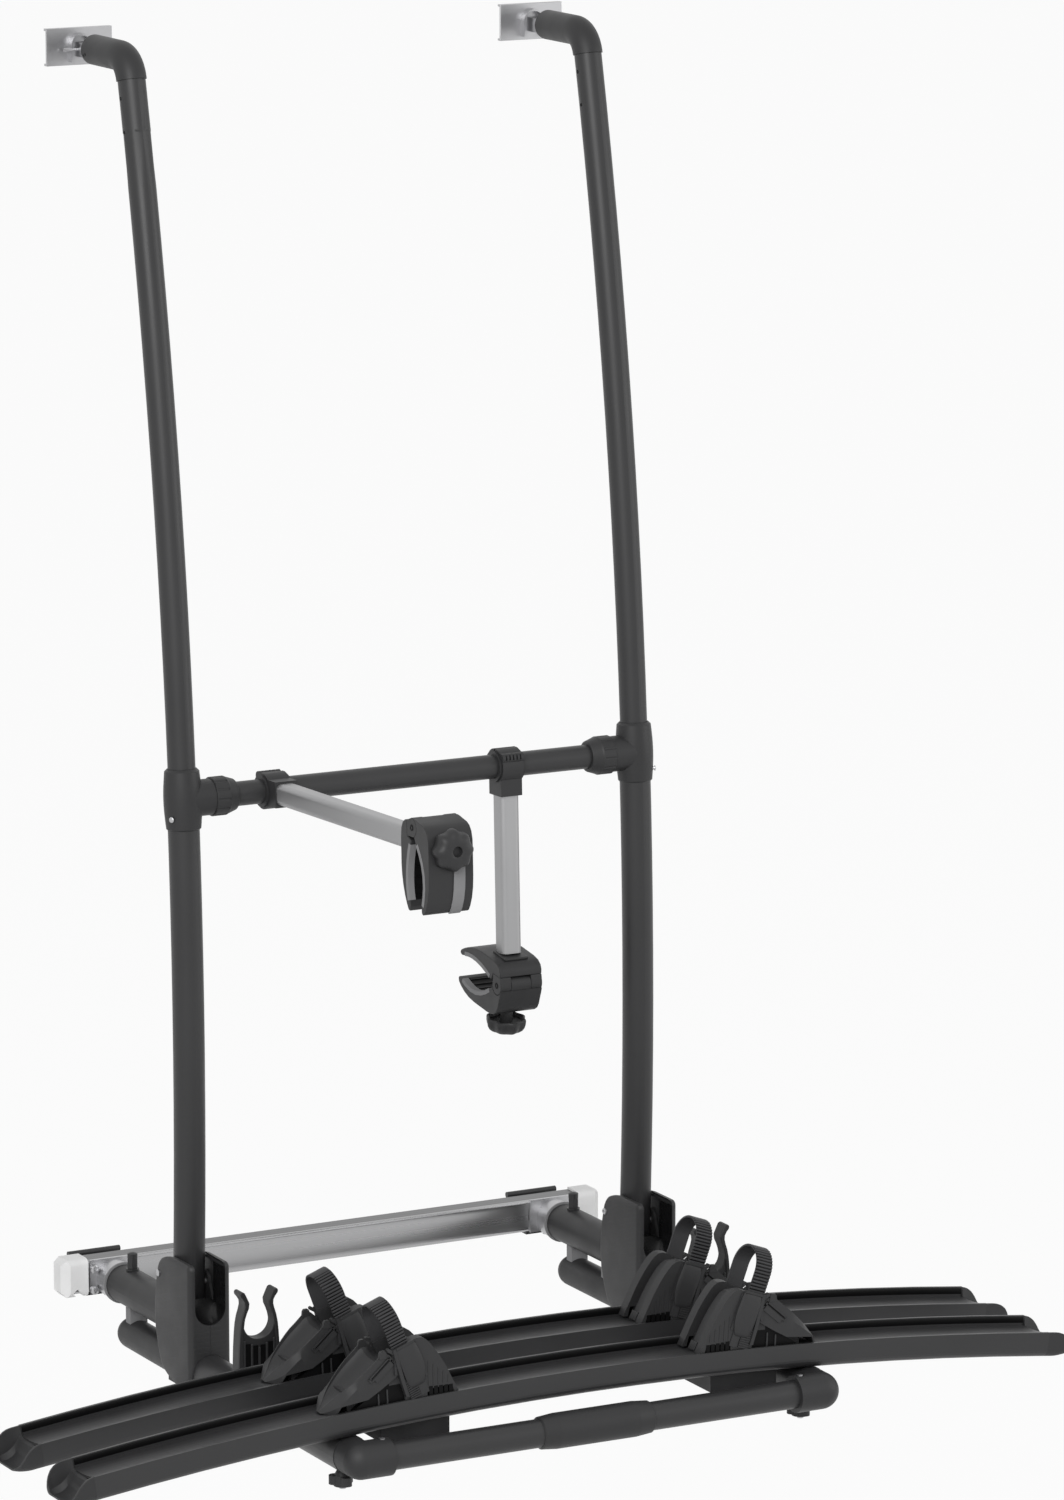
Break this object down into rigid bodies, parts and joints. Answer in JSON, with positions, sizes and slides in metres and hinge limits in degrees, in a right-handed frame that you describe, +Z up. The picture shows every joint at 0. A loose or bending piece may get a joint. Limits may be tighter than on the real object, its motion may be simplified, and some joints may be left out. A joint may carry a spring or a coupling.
{
  "type": "rear bike carrier",
  "caption": "Bike carrier that hangs on a van's rear doors, with curved telescopic uprights, a folding platform, wheel rails and swinging frame clamps.",
  "frame": {"origin": "middle of the lower rail's back face, which lies on the vehicle's doors", "axes": "+X to the right as seen from behind the vehicle, +Y towards the vehicle, -Y away from it, +Z up"},
  "size_m": [1.4052, 0.8024, 1.7077],
  "materials": {
    "black_plastic": "satin moulded",
    "anthracite_coating": "satin powder coat",
    "bare_aluminium": "satin anodised",
    "zinc_plated_steel": "satin zinc plated",
    "white_plastic": "satin moulded",
    "grey_rubber": "matt",
    "strap_rubber": "matt, ribbed"
  },
  "bodies": {
    "frame": {"lower_rail": "bare_aluminium", "rail_end_caps": "white_plastic", "door_plates": "anthracite_coating", "frame_bolts": "zinc_plated_steel", "rail_saddles": "zinc_plated_steel", "support_arms": "black_plastic", "rubber_pads": "grey_rubber", "upright_feet": "black_plastic", "lower_uprights": "anthracite_coating", "tee_front_shells": "black_plastic", "tee_back_shells": "black_plastic", "crossbar": "anthracite_coating"},
    "platform": {"hinge_covers_outer": "black_plastic", "hinge_covers_inner": "black_plastic", "side_arms": "anthracite_coating", "corner_joints": "black_plastic", "platform_bolts": "zinc_plated_steel", "front_tube": "anthracite_coating", "grip_sleeve": "black_plastic", "upright_clips": "black_plastic", "rail_brackets": "black_plastic", "wheel_rail_front": "anthracite_coating", "wheel_rail_rear": "anthracite_coating", "rail_caps": "black_plastic"},
    "upper_left": {"upper_upright_left": "anthracite_coating", "top_elbow_left": "black_plastic", "top_fixing_left": "zinc_plated_steel", "top_plate_left": "zinc_plated_steel"},
    "collar_left": {"collar_nut_left": "black_plastic"},
    "knob_left": {"lock_knob_left": "black_plastic"},
    "upper_right": {"upper_upright_right": "anthracite_coating", "top_elbow_right": "black_plastic", "top_fixing_right": "zinc_plated_steel", "top_plate_right": "zinc_plated_steel"},
    "collar_right": {"collar_nut_right": "black_plastic"},
    "knob_right": {"lock_knob_right": "black_plastic"},
    "holder_1": {"wheel_shoe_1": "black_plastic", "wheel_strap_1": "strap_rubber"},
    "lever_1": {"strap_lever_1": "black_plastic"},
    "holder_2": {"wheel_shoe_2": "black_plastic", "wheel_strap_2": "strap_rubber"},
    "lever_2": {"strap_lever_2": "black_plastic"},
    "holder_3": {"wheel_shoe_3": "black_plastic", "wheel_strap_3": "strap_rubber"},
    "lever_3": {"strap_lever_3": "black_plastic"},
    "holder_4": {"wheel_shoe_4": "black_plastic", "wheel_strap_4": "strap_rubber"},
    "lever_4": {"strap_lever_4": "black_plastic"},
    "bush_1": {"arm_1_bush": "grey_rubber"},
    "arm_1": {"arm_1_bracket": "black_plastic", "arm_1_tube": "bare_aluminium", "rear_jaw_1": "black_plastic"},
    "jaw_1": {"front_jaw_1": "black_plastic"},
    "clamp_knob_1": {"clamp_knob_1": "black_plastic"},
    "bush_2": {"arm_2_bush": "grey_rubber"},
    "arm_2": {"arm_2_bracket": "black_plastic", "arm_2_tube": "bare_aluminium", "rear_jaw_2": "black_plastic"},
    "jaw_2": {"front_jaw_2": "black_plastic"},
    "clamp_knob_2": {"clamp_knob_2": "black_plastic"}
  },
  "joints": [
    {"name": "platform_fold", "type": "hinge", "parent": "frame", "child": "platform", "pos_m": [0, -0.2555, 0.044], "axis": [1, 0, 0], "range_deg": [-73, 0]},
    {"name": "upright_left_height", "type": "hinge", "parent": "frame", "child": "upper_left", "pos_m": [-0.32, 5.268, 0.312], "axis": [1, 0, 0], "range_deg": [-1.2, 0.6]},
    {"name": "collar_left_turn", "type": "hinge", "parent": "frame", "child": "collar_left", "pos_m": [-0.266, -0.25069, 0.6655], "axis": [1, 0, 0], "continuous": true},
    {"name": "lock_knob_left_turn", "type": "hinge", "parent": "platform", "child": "knob_left", "pos_m": [-0.32, -0.689, -0.093], "axis": [0, 0, 1], "continuous": true},
    {"name": "upright_right_height", "type": "hinge", "parent": "frame", "child": "upper_right", "pos_m": [0.32, 5.268, 0.312], "axis": [1, 0, 0], "range_deg": [-1.2, 0.6]},
    {"name": "collar_right_turn", "type": "hinge", "parent": "frame", "child": "collar_right", "pos_m": [0.266, -0.25069, 0.6655], "axis": [1, 0, 0], "continuous": true},
    {"name": "lock_knob_right_turn", "type": "hinge", "parent": "platform", "child": "knob_right", "pos_m": [0.32, -0.689, -0.093], "axis": [0, 0, 1], "continuous": true},
    {"name": "holder_1_slide", "type": "hinge", "parent": "platform", "child": "holder_1", "pos_m": [0, -0.536, -5.175], "axis": [0, 1, 0], "range_deg": [-3.09, 1.6]},
    {"name": "strap_lever_1_open", "type": "hinge", "parent": "holder_1", "child": "lever_1", "pos_m": [-0.2426, -0.5689, 0.0314], "axis": [0.9987, 0, 0.0501], "range_deg": [0, 60]},
    {"name": "holder_2_slide", "type": "hinge", "parent": "platform", "child": "holder_2", "pos_m": [0, -0.689, -5.175], "axis": [0, 1, 0], "range_deg": [-3.09, 1.6]},
    {"name": "strap_lever_2_open", "type": "hinge", "parent": "holder_2", "child": "lever_2", "pos_m": [-0.2426, -0.7219, 0.0314], "axis": [0.9987, 0, 0.0501], "range_deg": [0, 60]},
    {"name": "holder_3_slide", "type": "hinge", "parent": "platform", "child": "holder_3", "pos_m": [0, -0.536, -5.175], "axis": [0, 1, 0], "range_deg": [-1.6, 3.09]},
    {"name": "strap_lever_3_open", "type": "hinge", "parent": "holder_3", "child": "lever_3", "pos_m": [0.2256, -0.5689, 0.0322], "axis": [0.9989, 0, -0.0468], "range_deg": [0, 60]},
    {"name": "holder_4_slide", "type": "hinge", "parent": "platform", "child": "holder_4", "pos_m": [0, -0.689, -5.175], "axis": [0, 1, 0], "range_deg": [-1.6, 3.09]},
    {"name": "strap_lever_4_open", "type": "hinge", "parent": "holder_4", "child": "lever_4", "pos_m": [0.2256, -0.7219, 0.0322], "axis": [0.9989, 0, -0.0468], "range_deg": [0, 60]},
    {"name": "arm_1_slide", "type": "slide", "parent": "frame", "child": "bush_1", "axis": [1, 0, 0], "range_m": [-0.034, 0.28]},
    {"name": "arm_1_swing", "type": "hinge", "parent": "bush_1", "child": "arm_1", "pos_m": [-0.195, -0.25069, 0.6655], "axis": [1, 0, 0], "range_deg": [-80, 88]},
    {"name": "jaw_1_open", "type": "hinge", "parent": "arm_1", "child": "jaw_1", "pos_m": [-0.195, -0.69262, 0.70395], "axis": [1, 0, 0], "range_deg": [-25, 6]},
    {"name": "clamp_knob_1_turn", "type": "hinge", "parent": "jaw_1", "child": "clamp_knob_1", "pos_m": [-0.195, -0.74739, 0.68285], "axis": [0, -0.9994, 0.0349], "continuous": true},
    {"name": "arm_2_slide", "type": "slide", "parent": "frame", "child": "bush_2", "axis": [1, 0, 0], "range_m": [-0.28, 0.09]},
    {"name": "arm_2_swing", "type": "hinge", "parent": "bush_2", "child": "arm_2", "pos_m": [0.133, -0.25069, 0.6655], "axis": [1, 0, 0], "range_deg": [-150, 20]},
    {"name": "jaw_2_open", "type": "hinge", "parent": "arm_2", "child": "jaw_2", "pos_m": [0.133, -0.28341, 0.38747], "axis": [1, 0, 0], "range_deg": [-25, 6]},
    {"name": "clamp_knob_2_turn", "type": "hinge", "parent": "jaw_2", "child": "clamp_knob_2", "pos_m": [0.133, -0.25312, 0.3372], "axis": [0, 0.1392, -0.9903], "continuous": true}
  ]
}
